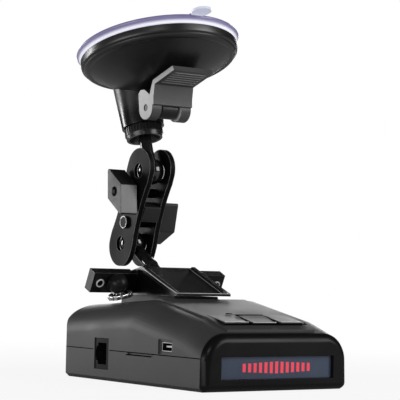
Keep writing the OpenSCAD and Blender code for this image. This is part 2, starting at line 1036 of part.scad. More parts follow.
// Frame on the bar's front face at a bar screw, +Z out of the face
module bar_screw_place(side) {
    translate([side * bar_screw_x, bar_pos[0], bar_pos[1]])
        rotate([90 + bar_lean, 0, 0])
            translate([0, 0, bar_t / 2])
                children();
}

module bar_screws() {
    color([0.8, 0.8, 0.82])
        for (side = [-1, 1])
            bar_screw_place(side)
                difference() {
                    translate([0, 0, -bar_screw_head])
                        cylinder(r = bar_screw_head_r, h = bar_screw_head + bar_screw_proud);
                    translate([0, 0, -bar_hex_depth])
                        cylinder(r = bar_hex_r, h = 2 * over, $fn = 6);
                }
}

// Frame of the boss on the cross bar, square to the case's shoulder
module boss_frame() {
    translate(boss_pos)
        rotate([0, -nut_tilt, 0])
            children();
}

module locking_nut() {
    color([0.85, 0.85, 0.87])
        boss_frame()
            translate([0, 0, -boss_ball_r - nut_h])
                union() {
                    difference() {
                        cylinder(r = nut_r, h = nut_h - knurl_shy);
                        for (i = [0:nut_flutes - 1])
                            rotate(i * 360 / nut_flutes)
                                translate([nut_r + knurl_out, 0, -over])
                                    cylinder(r = knurl_r, h = nut_h + 2 * over, $fn = 16);
                    }
                    translate([0, 0, nut_h - nut_dish])
                        cylinder(r = nut_stem_r, h = boss_ball_r);
                }
}

// ---------- arm ----------

module lower_ball_stud() {
    knee = stud_foot + stud_knee_h * [sin(stud_lean), cos(stud_lean)];
    reach = lower_ball - knee;
    color([0.05, 0.05, 0.055])
        union() {
            stud_frame() {
                translate([0, 0, stud_gap])
                    cylinder(r1 = stud_flange_r, r2 = stud_knee_r, h = stud_flange_h);
                translate([0, 0, -stud_spigot_l])
                    cylinder(r = stud_spigot_r, h = stud_spigot_l + 0.5);
                translate([0, 0, stud_knee_h])
                    sphere(r = stud_knee_r);
            }
            translate([0, knee[0], knee[1]])
                rotate([-atan2(reach[0], reach[1]), 0, 0])
                    cylinder(r = stud_neck_r, h = norm(reach));
            translate([0, lower_ball[0], lower_ball[1]])
                sphere(r = ball_r);
        }
}

// Outline of an arm plate in the arm's frame: round ends joined by a waist
module plate_outline() {
    end_y = arm_l / 2 + arm_end_out;
    difference() {
        union() {
            for (end = [-1, 1])
                translate([0, end * end_y])
                    circle(plate_end_r);
            square([2 * plate_end_r, 2 * end_y], center = true);
        }
        for (side = [-1, 1])
            translate([side * (plate_end_r - plate_waist + waist_r), 0])
                circle(waist_r);
    }
}

// One arm plate, on side -1 or 1
module arm_plate(side) {
    color([0.07, 0.07, 0.075])
        arm_frame()
            difference() {
                rotate([90, 0, 90])
                    translate([0, 0, side > 0 ? plate_in : -plate_out])
                        linear_extrude(plate_t)
                            plate_outline();
                for (end = [-1, 1]) {
                    translate([0, 0, end * arm_l / 2])
                        sphere(r = ball_r + run);
                    x_rod([0, end * arm_l / 2], hole_out_r, -plate_out - 1, plate_out + 1);
                    x_rod([0, end * (arm_l / 2 - bolt_offset)], bolt_r + fit,
                        -plate_out - 1, plate_out + 1);
                }
            }
}

module left_arm_plate() { arm_plate(-1); }

module right_arm_plate() { arm_plate(1); }

module arm_spacer() {
    color([0.3, 0.3, 0.31])
        arm_frame()
            box([0, spacer_y, 0], [plate_gap, spacer_size[0], spacer_size[1]]);
}

// Clamp bolt with its head on one side and its thread in the knob on the other
module clamp_bolt(end) {
    color([0.1, 0.1, 0.105])
        arm_frame()
            union() {
                x_rod([0, end * (arm_l / 2 - bolt_offset)], bolt_r,
                    -plate_out - bolt_out, plate_out + bolt_out);
                x_rod([0, end * (arm_l / 2 - bolt_offset)], bolt_head_r,
                    end > 0 ? plate_out + bolt_gap : -plate_out - bolt_out,
                    end > 0 ? plate_out + bolt_out : -plate_out - bolt_gap);
                x_rod([0, end * (arm_l / 2 - bolt_offset)], bolt_r,
                    end > 0 ? -plate_out - knob_gap - knob_t + bolt_in_knob : plate_out,
                    end > 0 ? -plate_out : plate_out + knob_gap + knob_t - bolt_in_knob);
            }
}

// Lozenge-shaped wing knob on the bolt; turn is the angle of its long diagonal
module wing_knob(end, turn) {
    a = atan2(knob_short, knob_long);
    near = plate_out + knob_gap;
    flat_r = knob_round;
    color([0.08, 0.08, 0.085])
        arm_frame()
            translate([end > 0 ? -near - knob_t : near, 0, end * (arm_l / 2 - bolt_offset)])
                rotate([turn, 0, 0])
                    difference() {
                        rotate([90, 0, 90])
                            linear_extrude(knob_t)
                                hull() {
                                    for (s = [-1, 1]) {
                                        translate([0, s * (knob_long / 2 - flat_r)])
                                            circle(flat_r, $fn = 32);
                                        translate([s * (knob_short / 2 - flat_r), 0])
                                            circle(flat_r, $fn = 32);
                                    }
                                }
                        x_rod([0, 0], bolt_r, -1, knob_t + 1);
                    }
}

module lower_clamp_bolt() { clamp_bolt(-1); }

module upper_clamp_bolt() { clamp_bolt(1); }

module lower_wing_knob() { wing_knob(-1, lower_knob_turn); }

module upper_wing_knob() { wing_knob(1, upper_knob_turn); }

module ball_rod() {
    upper = [0, upper_ball[0], upper_ball[1]];
    neck = cup_pos + [0,
        neck_offset * cos(cup_tilt) + neck_ball_w * sin(cup_tilt),
        -neck_offset * sin(cup_tilt) + neck_ball_w * cos(cup_tilt)];
    reach = neck - upper;
    color([0.06, 0.06, 0.065])
        translate(upper)
            rotate([-atan2(reach[1], reach[2]), 0, 0])
                union() {
                    sphere(r = ball_r);
                    cylinder(r = rod_r, h = norm(reach));
                    translate([0, 0, norm(reach)])
                        sphere(r = neck_ball_r);
                }
}

// ---------- suction cup ----------

module ball_seat() {
    color([0.2, 0.2, 0.2])
        neck_frame()
            difference() {
                translate([0, 0, -seat_back])
                    cylinder(r = seat_r, h = seat_l);
                sphere(r = neck_ball_r + run);
                translate([0, 0, -seat_boss_h])
                    cylinder(r1 = seat_boss_r[0], r2 = seat_boss_r[1], h = seat_boss_h);
            }
}

module collar_nut() {
    color([0.06, 0.06, 0.065])
        cup_frame()
            translate([0, neck_offset, 0])
                difference() {
                    union() {
                        translate([0, 0, collar_top - knurl_band])
                            cylinder(r = collar_r, h = knurl_band);
                        translate([0, 0, collar_low])
                            cylinder(r1 = collar_low_r, r2 = collar_r - knurl_step,
                                h = collar_top - knurl_band - collar_low);
                    }
                    for (i = [0:flutes - 1])
                        rotate(i * 360 / flutes)
                            translate([collar_r + knurl_cut_out, 0, collar_top - knurl_band + knurl_step])
                                cylinder(r = knurl_cut_r, h = knurl_cut_l, $fn = 12);
                    translate([0, 0, collar_waist])
                        cylinder(r = collar_throat_r, h = collar_top - collar_waist + 2);
                    translate([0, 0, collar_low - eps])
                        cylinder(r1 = collar_mouth_r, r2 = collar_throat_r,
                            h = collar_waist - collar_low + 2 * eps);
                }
}

module suction_housing() {
    color([0.03, 0.03, 0.033])
        cup_frame()
            difference() {
                union() {
                    rotate_extrude()
                        polygon([
                            [0, cup_top], [7, cup_top], [13, -15.2], [20, -12.6], [27, -9.2], [33, -5.6],
                            [36.2, -4], [37.2, -3.2], [cup_r, -2.2], [cup_r, 0], [cup_r - 1.2, 0.3],
                            [cup_r - 2, 0], [cup_r - 2.2, -1.4], [32, -3], [26, -6.6], [19, -10],
                            [12, -12.6], [7, -13.4], [0, -13.4]]);
                    translate([0, neck_offset, neck_low])
                        cylinder(r1 = neck_r_low, r2 = neck_r_top, h = neck_top - neck_low);
                }
                translate([0, neck_offset, neck_low - 1])
                    cylinder(r = neck_bore_r, h = neck_ball_w + neck_bore_past - neck_low + over);
                translate([0, 0, cup_top - 1])
                    cylinder(r = pull_r + fit, h = -cup_top + 1);
                rotate_extrude()
                    polygon([
                        [0, -13.4], [7, -13.4], [12, -12.6], [19, -10], [26, -6.6], [32, -3],
                        [cup_r - 2.2, -1.4], [cup_r - 2.2, 20], [0, 20]]);
            }
}

module suction_pad() {
    color([0.62, 0.58, 0.85, 0.6])
        cup_frame()
            union() {
                rotate_extrude()
                    polygon([
                        [9, -1.2], [30, -0.9], [34.6, -0.6], [34.9, 0.4], [37, 0.5], [38.6, 2.2],
                        [38.9, 3.2], [38.4, 4], [30, 4], [12, 3.6], [0, 3.6], [0, 2.8], [9, 2.8]]);
                translate([tab_x, 0, tab_w])
                    linear_extrude(tab_t)
                        union() {
                            translate([-tab_neck, -tab_v])
                                square([2 * tab_neck, tab_root]);
                            translate([0, -tab_v])
                                circle(tab_r);
                        }
            }
}

module pull_rod() {
    color([0.1, 0.1, 0.105])
        cup_frame()
            difference() {
                union() {
                    translate([0, 0, -rod_head_at])
                        cylinder(r = rod_head_r, h = rod_head_h);
                    translate([0, 0, pivot[1] + 2])
                        cylinder(r = pull_r, h = -pivot[1] - rod_eye_at);
                    x_rod(pivot, pull_eye_r, -pull_eye_w / 2, pull_eye_w / 2);
                    box([0, rod_eye_y, pivot[1] + rod_eye_h / 2], [pull_eye_w, 2 * pull_r, rod_eye_h]);
                }
                x_rod(pivot, pin_r + fit, -pull_eye_w, pull_eye_w);
            }
}

// Side outline of the lever about its pin: a thin bent blade
module lever_blade() {
    polygon([
        [-25.6, 11.2], [-26.2, 8.8], [-9.8, 8.2], [-7.4, 2.6], [-6.6, -0.6],
        [-5.3, -0.6], [-5.2, 1.6], [-4.6, 5], [-8.6, 10.6]]);
}

// Side outline of a knuckle: the eye, its cam toe and the root of the blade
module lever_knuckle() {
    union() {
        circle(knuckle_r);
        polygon([
            [-5.3, -0.6], [-6.8, 2.6], [-9.8, 8.2], [-8.6, 10.6], [-4.6, 5],
            [-0.8, 8.8], [2.4, 9.6], [4.4, 8.4], [5.5, 1], [0, -2]]);
    }
}

module lock_lever() {
    half = lever_w / 2;
    color([0.16, 0.16, 0.17])
        cup_frame()
            difference() {
                union() {
                    side_extrude(-half, half)
                        translate(pivot)
                            lever_blade();
                    for (side = [-1, 1])
                        side_extrude(side * (half - knuckle_w / 2) - knuckle_w / 2,
                            side * (half - knuckle_w / 2) + knuckle_w / 2)
                            translate(pivot)
                                lever_knuckle();
                }
                x_rod(pivot, pin_r + fit, -half - 1, half + 1);
            }
}

module lever_pin() {
    color([0.6, 0.6, 0.62])
        cup_frame()
            x_rod(pivot, pin_r, -lever_w / 2 + pin_in, lever_w / 2 - pin_in);
}

bottom_cover();
top_cover();
front_bezel();
display_window();
display_module();
main_board();
shield_can();
horn_antenna();
laser_lens();
speaker();
power_jack();
usb_port();
key_board();
left_key();
centre_key();
right_key();
case_screws();
mounting_rail();
bracket_base();
bracket_plate();
cross_bar();
bar_screws();
locking_nut();
lower_ball_stud();
left_arm_plate();
right_arm_plate();
arm_spacer();
lower_clamp_bolt();
lower_wing_knob();
upper_clamp_bolt();
upper_wing_knob();
ball_rod();
ball_seat();
collar_nut();
suction_housing();
suction_pad();
pull_rod();
lock_lever();
lever_pin();
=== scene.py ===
"""Looks for the radar detector on its windscreen mount: metres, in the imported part's frame."""

import json
import math

import bmesh
import bpy
from mathutils import Matrix, Vector
from mathutils.bvhtree import BVHTree


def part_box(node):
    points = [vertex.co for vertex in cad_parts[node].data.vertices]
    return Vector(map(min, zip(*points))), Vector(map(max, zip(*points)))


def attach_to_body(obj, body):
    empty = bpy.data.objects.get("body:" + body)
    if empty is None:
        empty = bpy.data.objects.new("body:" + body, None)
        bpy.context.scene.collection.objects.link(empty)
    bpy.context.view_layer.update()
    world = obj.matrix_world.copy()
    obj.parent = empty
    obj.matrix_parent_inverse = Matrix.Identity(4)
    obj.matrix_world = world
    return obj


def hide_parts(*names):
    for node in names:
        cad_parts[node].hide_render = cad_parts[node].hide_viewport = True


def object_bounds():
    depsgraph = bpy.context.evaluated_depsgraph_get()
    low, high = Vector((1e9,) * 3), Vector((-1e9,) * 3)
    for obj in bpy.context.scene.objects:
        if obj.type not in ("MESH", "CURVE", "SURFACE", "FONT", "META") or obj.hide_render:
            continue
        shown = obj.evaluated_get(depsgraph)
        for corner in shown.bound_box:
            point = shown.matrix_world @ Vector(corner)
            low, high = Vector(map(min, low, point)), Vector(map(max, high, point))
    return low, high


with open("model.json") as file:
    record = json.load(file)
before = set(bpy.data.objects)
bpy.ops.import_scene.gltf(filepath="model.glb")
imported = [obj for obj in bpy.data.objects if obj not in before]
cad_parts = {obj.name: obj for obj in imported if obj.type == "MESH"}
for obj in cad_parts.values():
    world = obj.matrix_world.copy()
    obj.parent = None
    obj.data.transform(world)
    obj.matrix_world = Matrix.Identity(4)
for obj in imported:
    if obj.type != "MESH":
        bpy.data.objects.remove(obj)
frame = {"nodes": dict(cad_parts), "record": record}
cad_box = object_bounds()
MM = 0.001
NODES = frame["nodes"]
RECORD = frame["record"]
BODY_OF = {n: b for b, names in RECORD["behaviour"]["bodies"].items() for n in names}
SLOT_OF = {s["node"]: s["material_slot"] for s in RECORD["subparts"]}
JOINT = {j["name"]: j for j in RECORD["behaviour"]["joints"]}
KEYS = ("left_key", "centre_key", "right_key")


# ---------- the cup's own directions ----------

def reach_of(node, direction):
    """How far the node's vertices reach along a direction: least and most."""
    values = [direction.dot(v.co) for v in NODES[node].data.vertices]
    return min(values), max(values)


CUP_AXIS = Vector(JOINT["cup_swivel"]["axis"]).normalized()
CUP_ACROSS = Vector((0, CUP_AXIS.z, -CUP_AXIS.y))
PIVOT = Vector(JOINT["lever_swing"]["pos_m"])
PIVOT_UP = PIVOT.dot(CUP_AXIS)
PAD_TAB_END, PAD_EDGE = reach_of("suction_pad", CUP_ACROSS)
PAD_R = reach_of("suction_pad", Vector((1, 0, 0)))[1]
PAD_HUB = CUP_AXIS * PIVOT_UP + CUP_ACROSS * (PAD_EDGE - PAD_R)
PAD_RIM_UP = PIVOT_UP + 27.4 * MM
TAB_START = PAD_TAB_END + 8.6 * MM


# ---------- shader nodes ----------

def new_material(name):
    mat = bpy.data.materials.new(name)
    mat.use_nodes = True
    tree = mat.node_tree
    return mat, tree, tree.nodes["Principled BSDF"]


def feed(tree, value, place):
    """Links value to an input if it is a socket, or sets the input to it."""
    if isinstance(value, bpy.types.NodeSocket):
        tree.links.new(value, place)
    else:
        place.default_value = value


def coordinate(tree, kind="Object"):
    return tree.nodes.new("ShaderNodeTexCoord").outputs[kind]


def calc(tree, operation, *values):
    """The result of a math node."""
    node = tree.nodes.new("ShaderNodeMath")
    node.operation = operation
    for value, place in zip(values, node.inputs):
        feed(tree, value, place)
    return node.outputs[0]


def vector_calc(tree, operation, *values):
    """The result of a vector math node: a number for a dot product or a length."""
    node = tree.nodes.new("ShaderNodeVectorMath")
    node.operation = operation
    for value, place in zip(values, node.inputs):
        feed(tree, value, place)
    return node.outputs["Value" if operation in ("DOT_PRODUCT", "LENGTH") else "Vector"]


def blend(tree, factor, a, b):
    """A mix of a and b, each a colour or a socket."""
    node = tree.nodes.new("ShaderNodeMix")
    node.data_type = "RGBA"
    tree.links.new(factor, node.inputs["Factor"])
    for value, name in ((a, "A"), (b, "B")):
        is_socket = isinstance(value, bpy.types.NodeSocket)
        feed(tree, value if is_socket else (*value, 1), node.inputs[name])
    return node.outputs["Result"]


def noise(tree, scale, detail=2.0, rough=0.5, stretch=None):
    """Noise in object space; scale is in cells per metre."""
    tex = tree.nodes.new("ShaderNodeTexNoise")
    tex.inputs["Scale"].default_value = scale
    tex.inputs["Detail"].default_value = detail
    tex.inputs["Roughness"].default_value = rough
    place = coordinate(tree)
    if stretch:
        mapping = tree.nodes.new("ShaderNodeMapping")
        mapping.inputs["Scale"].default_value = stretch
        tree.links.new(place, mapping.inputs["Vector"])
        place = mapping.outputs["Vector"]
    tree.links.new(place, tex.inputs["Vector"])
    return tex.outputs["Fac"]


def remap(tree, value, low, high, start=0.3, stop=0.7):
    """low at start and below, high at stop and above."""
    node = tree.nodes.new("ShaderNodeMapRange")
    node.inputs["From Min"].default_value = start
    node.inputs["From Max"].default_value = stop
    node.inputs["To Min"].default_value = low
    node.inputs["To Max"].default_value = high
    tree.links.new(value, node.inputs["Value"])
    return node.outputs["Result"]


def edge_mask(tree, radius):
    """1 on rounded edges within radius, 0 on flats: where edge wear and painted edge highlights go.
    """
    worn_and_lit, flat = 0.86, 0.99
    bevel = tree.nodes.new("ShaderNodeBevel")
    bevel.samples = 4
    bevel.inputs["Radius"].default_value = radius
    geometry = tree.nodes.new("ShaderNodeNewGeometry")
    agreement = vector_calc(tree, "DOT_PRODUCT", bevel.outputs["Normal"],
                            geometry.outputs["Normal"])
    return remap(tree, agreement, 1.0, 0.0, worn_and_lit, flat)


def facing(tree, direction, both=False):
    """1 on faces that look along the direction (or also against it), 0 elsewhere."""
    beside, square = 0.88, 0.96
    value = vector_calc(tree, "DOT_PRODUCT", coordinate(tree, "Normal"), direction)
    if both:
        value = calc(tree, "ABSOLUTE", value)
    return remap(tree, value, 0, 1, beside, square)


def along(tree, direction):
    """Object-space distance along a direction, in metres."""
    return vector_calc(tree, "DOT_PRODUCT", coordinate(tree), direction)


def off_axis(tree, axis, hub):
    """Distance from the axis through hub, in object space."""
    reach = vector_calc(tree, "SUBTRACT", coordinate(tree), hub)
    return vector_calc(tree, "LENGTH", vector_calc(tree, "CROSS_PRODUCT", reach, axis))


# ---------- materials ----------

MOTTLE = (45, 3.0, 0.55)  # broad noise: cells per metre, detail, roughness
# the edge colour is partly real wear and partly a painted highlight on the edges
WEAR_AND_SHEEN_SPOTS = (400, 3.0)  # noise that breaks up worn edges: cells per metre, detail
LEAST_WEAR_AND_SHEEN = 0.35
COAT_ROUGH = 0.12


def surface(name, colour, rough=0.4, grain=2500, depth=0.01, spread=0.06, metal=0.0,
            spec=0.5, coat=0.0, wear_and_sheen=None, wear_and_sheen_radius=0.0003, tint=0.25, stretch=None):
    """A moulded, painted or metal finish: fine grain, mottled roughness and colour, and pale edges
    that are partly wear, partly painted highlight.
    """
    mat, tree, shader = new_material(name)
    link = tree.links.new
    fine = noise(tree, grain, 3.0, 0.6, stretch)
    broad = noise(tree, *MOTTLE)
    base = blend(tree, broad, [c * (1 - tint) for c in colour],
                 [min(1, c * (1 + tint)) for c in colour])
    # pale edges: partly wear, partly painted highlight, as on the arm plates' bright bevels
    if wear_and_sheen:
        spots = remap(tree, noise(tree, *WEAR_AND_SHEEN_SPOTS), LEAST_WEAR_AND_SHEEN, 1.0)
        worn_and_lit = calc(tree, "MULTIPLY", edge_mask(tree, wear_and_sheen_radius), spots)
        base = blend(tree, worn_and_lit, base, wear_and_sheen)
    link(base, shader.inputs["Base Color"])
    shader.inputs["Metallic"].default_value = metal
    shader.inputs["Specular IOR Level"].default_value = spec
    shader.inputs["Coat Weight"].default_value = coat
    shader.inputs["Coat Roughness"].default_value = COAT_ROUGH
    link(remap(tree, broad, rough - spread, rough + spread), shader.inputs["Roughness"])
    bump = tree.nodes.new("ShaderNodeBump")
    bump.inputs["Distance"].default_value = depth * MM
    bump.inputs["Strength"].default_value = 1.0
    link(fine, bump.inputs["Height"])
    link(bump.outputs["Normal"], shader.inputs["Normal"])
    return mat


def paint_lit_faces(mat, direction, colour, both=False):
    """Paints light onto the faces along a direction: they take a paler, uneven colour that stands
    in for the light they catch.
    """
    dull, bright = 0.75, 1.2
    tree = mat.node_tree
    shader = tree.nodes["Principled BSDF"]
    old = shader.inputs["Base Color"].links[0].from_socket
    # uneven brightness of the painted light
    light_unevenness = noise(tree, 1600, 4.0, 0.7)
    pale = blend(tree, light_unevenness, [c * dull for c in colour], [c * bright for c in colour])
    mixed = blend(tree, facing(tree, direction, both), old, pale)
    tree.links.new(mixed, shader.inputs["Base Color"])
    return mat


def glow(name, colour, strength):
    """Lit display segments: a faint plastic skin over an uneven glow."""
    skin, dimmest, brightest = 0.3, 0.8, 1.1
    mat = surface(name, [c * skin for c in colour], 0.3, 1500, 0.002)
    tree = mat.node_tree
    shader = tree.nodes["Principled BSDF"]
    shader.inputs["Emission Color"].default_value = (*colour, 1)
    uneven = remap(tree, noise(tree, 2600, 2.0), strength * dimmest, strength * brightest)
    tree.links.new(uneven, shader.inputs["Emission Strength"])
    return mat


PAD_BAND = (0.8, 0.8, 0.9)
PAD_VIOLET = (0.3, 0.27, 0.5)
PAD_MIDDLE = (0.1, 0.095, 0.15)
PAD_TAB = (0.62, 0.64, 0.78)


def soft_pad(name):
    """Clear violet vinyl: a pale band at the cup's lip and a pale tab, both glowing as painted
    light, violet between, and dark in the middle.
    """
    band_glow, violet_glow, tab_glow = 0.7, 0.16, 0.55
    mat = surface(name, (0.5, 0.47, 0.72), 0.22, 700, 0.006, coat=0.4)
    tree = mat.node_tree
    shader = tree.nodes["Principled BSDF"]
    height = along(tree, CUP_AXIS)
    on_violet = remap(tree, height, 0, 1, PAD_RIM_UP + 1.2 * MM, PAD_RIM_UP + 2.2 * MM)
    in_middle = remap(tree, off_axis(tree, CUP_AXIS, PAD_HUB), 1, 0, 20 * MM, 37 * MM)
    on_tab = remap(tree, along(tree, CUP_ACROSS), 1, 0, TAB_START - 0.4 * MM, TAB_START + 0.4 * MM)
    tone = blend(tree, on_violet, PAD_BAND, PAD_VIOLET)
    tone = blend(tree, in_middle, tone, PAD_MIDDLE)
    tone = blend(tree, on_tab, tone, PAD_TAB)
    tree.links.new(tone, shader.inputs["Base Color"])
    tree.links.new(tone, shader.inputs["Emission Color"])
    # the emission is painted light: strongest on the band and the tab, faint on the violet
    rim_lit = remap(tree, height, band_glow, violet_glow,
                    PAD_RIM_UP + 1.0 * MM, PAD_RIM_UP + 2.0 * MM)
    tab_lit = remap(tree, on_tab, 0, tab_glow, 0, 1)
    tree.links.new(calc(tree, "MAXIMUM", rim_lit, tab_lit), shader.inputs["Emission Strength"])
    return mat


def polish(mat, start, stop, share):
    """Glossier below start along the cup's axis: the neck takes share of the dome's roughness."""
    tree = mat.node_tree
    rough = tree.nodes["Principled BSDF"].inputs["Roughness"]
    scale = remap(tree, along(tree, CUP_AXIS), share, 1, start, stop)
    tree.links.new(calc(tree, "MULTIPLY", rough.links[0].from_socket, scale), rough)


MATERIAL = {
    "shell": surface("case_shell", (0.082, 0.082, 0.084), 0.44, 3200, 0.014, spec=0.24),
    "bezel": surface("bezel_gloss", (0.007, 0.007, 0.008), 0.32, 2600, 0.006, spec=0.2),
    "display_glass": surface("display_glass", (0.075, 0.1, 0.155), 0.16, 900, 0.002),
    "display": surface("display_panel", (0.05, 0.065, 0.1), 0.35, 900, 0.002),
    "circuit_board": surface("circuit_board", (0.01, 0.12, 0.06), 0.35, 1500, 0.01),
    "tin": surface("tinned_steel", (0.95, 0.95, 0.95), 0.36, 1800, 0.006, metal=0.25, tint=0.08),
    "horn_cast": surface("cast_horn", (0.6, 0.61, 0.63), 0.45, 1600, 0.03, metal=1.0, tint=0.1),
    "laser_filter": surface("laser_filter", (0.1, 0.006, 0.01), 0.12, 900, 0.002),
    "speaker_black": surface("speaker_black", (0.02, 0.02, 0.02), 0.6, 1400, 0.03),
    "socket": surface("socket_black", (0.008, 0.008, 0.009), 0.6, 2400, 0.01, spec=0.2),
    "key_plastic": surface("key_plastic", (0.05, 0.05, 0.052), 0.4, 3200, 0.01, spec=0.5),
    "screw_steel": surface("plated_steel", (0.7, 0.7, 0.72), 0.42, 1800, 0.01,
                           metal=1.0, tint=0.1),
    "rail_steel": surface("rail_steel", (0.5, 0.51, 0.53), 0.35, 900, 0.01, metal=1.0,
                          tint=0.1, stretch=(1, 0.05, 1)),
    "bracket_black": surface("bracket_black", (0.005, 0.005, 0.006), 0.22, 2600, 0.006,
                             spec=0.28, wear_and_sheen=(0.3, 0.3, 0.31)),
    "nut_chrome": surface("chrome", (0.95, 0.95, 0.96), 0.12, 1500, 0.003, metal=1.0, tint=0.04),
    "arm_black": surface("arm_paint", (0.007, 0.007, 0.008), 0.42, 2200, 0.008,
                         spec=0.06, wear_and_sheen=(0.5, 0.5, 0.52), wear_and_sheen_radius=0.0004),
    "knob_black": surface("knob_plastic", (0.02, 0.02, 0.021), 0.42, 2600, 0.012,
                          wear_and_sheen=(0.2, 0.2, 0.2)),
    "cup_black": surface("cup_gloss", (0.009, 0.009, 0.0095), 0.36, 2200, 0.004, spec=0.85),
    "collar_black": surface("collar_plastic", (0.02, 0.02, 0.021), 0.3, 2400, 0.01, spec=0.8),
    # The lever's faces along +X and -X are painted pale: painted light for its brightly lit sides.
    "lever_grey": paint_lit_faces(surface("lever_plastic", (0.085, 0.085, 0.088), 0.45, 2800, 0.012),
                            (1, 0, 0), (0.62, 0.62, 0.63), both=True),
    "display_glow": glow("display_glow", (0.9, 0.07, 0.11), 0.75),
    "pad_clear": soft_pad("pad_soft"),
}
polish(MATERIAL["cup_black"], PIVOT_UP + 3 * MM, PIVOT_UP + 12 * MM, 0.5)
# pale grey for painted highlights on edges, rims and crests
EDGE_HIGHLIGHT_PAINT = surface("edge_painted_highlight", (0.6, 0.6, 0.61), 0.28, 2000, 0.004, metal=0.2, tint=0.15)
# paler grey painted on the lever's grip ridges as highlights
RIDGE_HIGHLIGHT_PAINT = surface("ridge_painted_highlight", (0.26, 0.26, 0.26), 0.3, 2400, 0.01, spec=0.6)
# near black for dark joints round the keys and along the seam, and for painted shade in the USB
# socket's cavity
GAP_AND_SHADE = surface("dark_gap_and_shade", (0.002, 0.002, 0.002), 0.85, 1800, 0.004, spec=0.03)
# materials of single nodes: some carry painted light, such as the knob's pale front and the USB
# socket's painted shade
OWN_FINISH_AND_PAINTED_LIGHT = {
    # The wing knob's faces looking along -Y are painted pale: a painted highlight on its front.
    "upper_wing_knob": paint_lit_faces(surface("knob_lit_front", (0.018, 0.018, 0.019), 0.45, 2200, 0.03,
                                         wear_and_sheen=(0.3, 0.3, 0.3)),
                                 (0, -1, 0), (0.3, 0.3, 0.3)),
    "bar_screws": surface("screw_black", (0.01, 0.01, 0.01), 0.4, 1800, 0.01, spec=0.2),
    "cross_bar": surface("bar_black", (0.012, 0.012, 0.012), 0.36, 2200, 0.01,
                         spec=0.25, wear_and_sheen=(0.3, 0.3, 0.31)),
    # The USB socket's shell is painted dark as shade inside its cavity. Its faces looking along -X
    # are near white: partly the tinned frame's own colour, partly painted highlight.
    "usb_port": paint_lit_faces(surface("usb_shaded_inside", (0.012, 0.012, 0.012), 0.5, 1800, 0.006, spec=0.2),
                          (-1, 0, 0), (0.95, 0.95, 0.95)),
    "lever_pin": surface("dull_pin", (0.12, 0.12, 0.12), 0.5, 1800, 0.02, metal=0.4),
    "pull_rod": surface("dark_rod", (0.006, 0.006, 0.006), 0.4, 1800, 0.01),
}
for node in ("ball_rod", "lower_ball_stud"):
    OWN_FINISH_AND_PAINTED_LIGHT[node] = surface(node + "_gloss", (0.012, 0.012, 0.013), 0.11, 1800, 0.004, spec=1.0)


# ---------- mesh helpers ----------

SHARP_DEG = 32  # edges over this angle stay sharp in the shading
BEVEL_DEG = 28  # edges over this angle are rounded
FLAT_DEG = 0.6  # faces within this angle are joined first
WELD = 0.002 * MM


def add_object(name, bm, material):
    mesh = bpy.data.meshes.new(name)
    bm.to_mesh(mesh)
    bm.free()
    obj = bpy.data.objects.new(name, mesh)
    bpy.context.scene.collection.objects.link(obj)
    obj.data.materials.append(material)
    return obj


def bake_modifiers(obj):
    """Replaces the mesh by what its modifiers make of it."""
    graph = bpy.context.evaluated_depsgraph_get()
    mesh = bpy.data.meshes.new_from_object(obj.evaluated_get(graph))
    obj.modifiers.clear()
    obj.data = mesh


def shade(obj):
    """Smooth shading with sharp edges, and normals weighted by area."""
    obj.data.shade_smooth()
    bm = bmesh.new()
    bm.from_mesh(obj.data)
    for edge in bm.edges:
        edge.smooth = not (len(edge.link_faces) == 2
                           and edge.calc_face_angle(0) > math.radians(SHARP_DEG))
    bm.to_mesh(obj.data)
    bm.free()
    weighted = obj.modifiers.new("weighted", "WEIGHTED_NORMAL")
    weighted.keep_sharp = True


def soften(obj, width):
    """Rounds the edges by width mm and shades the result."""
    bevel = obj.modifiers.new("edges", "BEVEL")
    bevel.width = width * MM
    bevel.segments = 2
    bake_modifiers(obj)
    shade(obj)


def stand_for(obj, node):
    """obj rides with the node's body and stands for it: the node is hidden."""
    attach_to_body(obj, BODY_OF[node])
    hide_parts(node)


def attach(obj, node):
    """obj rides with the node's body as a detail on it."""
    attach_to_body(obj, BODY_OF[node])


# ---------- the CAD nodes with round edges ----------

ROUND_MM = {
    "bottom_cover": 0.35, "top_cover": 0.3, "front_bezel": 0.3, "display_window": 0.15,
    "power_jack": 0.15, "usb_port": 0.1, "left_key": 0.4, "centre_key": 0.4, "right_key": 0.4,
    "bracket_base": 0.4, "bracket_plate": 0.3, "cross_bar": 0.5, "bar_screws": 0.15,
    "locking_nut": 0.3, "lower_ball_stud": 0.3, "left_arm_plate": 0.5, "right_arm_plate": 0.45,
    "arm_spacer": 0.4, "lower_clamp_bolt": 0.2, "lower_wing_knob": 0.5,
    "upper_clamp_bolt": 0.2, "upper_wing_knob": 0.5, "ball_rod": 0, "collar_nut": 0.15,
    "suction_housing": 0.4, "suction_pad": 0.3, "pull_rod": 0.3, "lock_lever": 0.4,
    "lever_pin": 0.2,
}
# the arm plates' bevel faces take the painted edge highlight
HIGHLIGHT_PAINTED_EDGES = ("left_arm_plate", "right_arm_plate")
FLAT_SHADED = ("bracket_plate",)


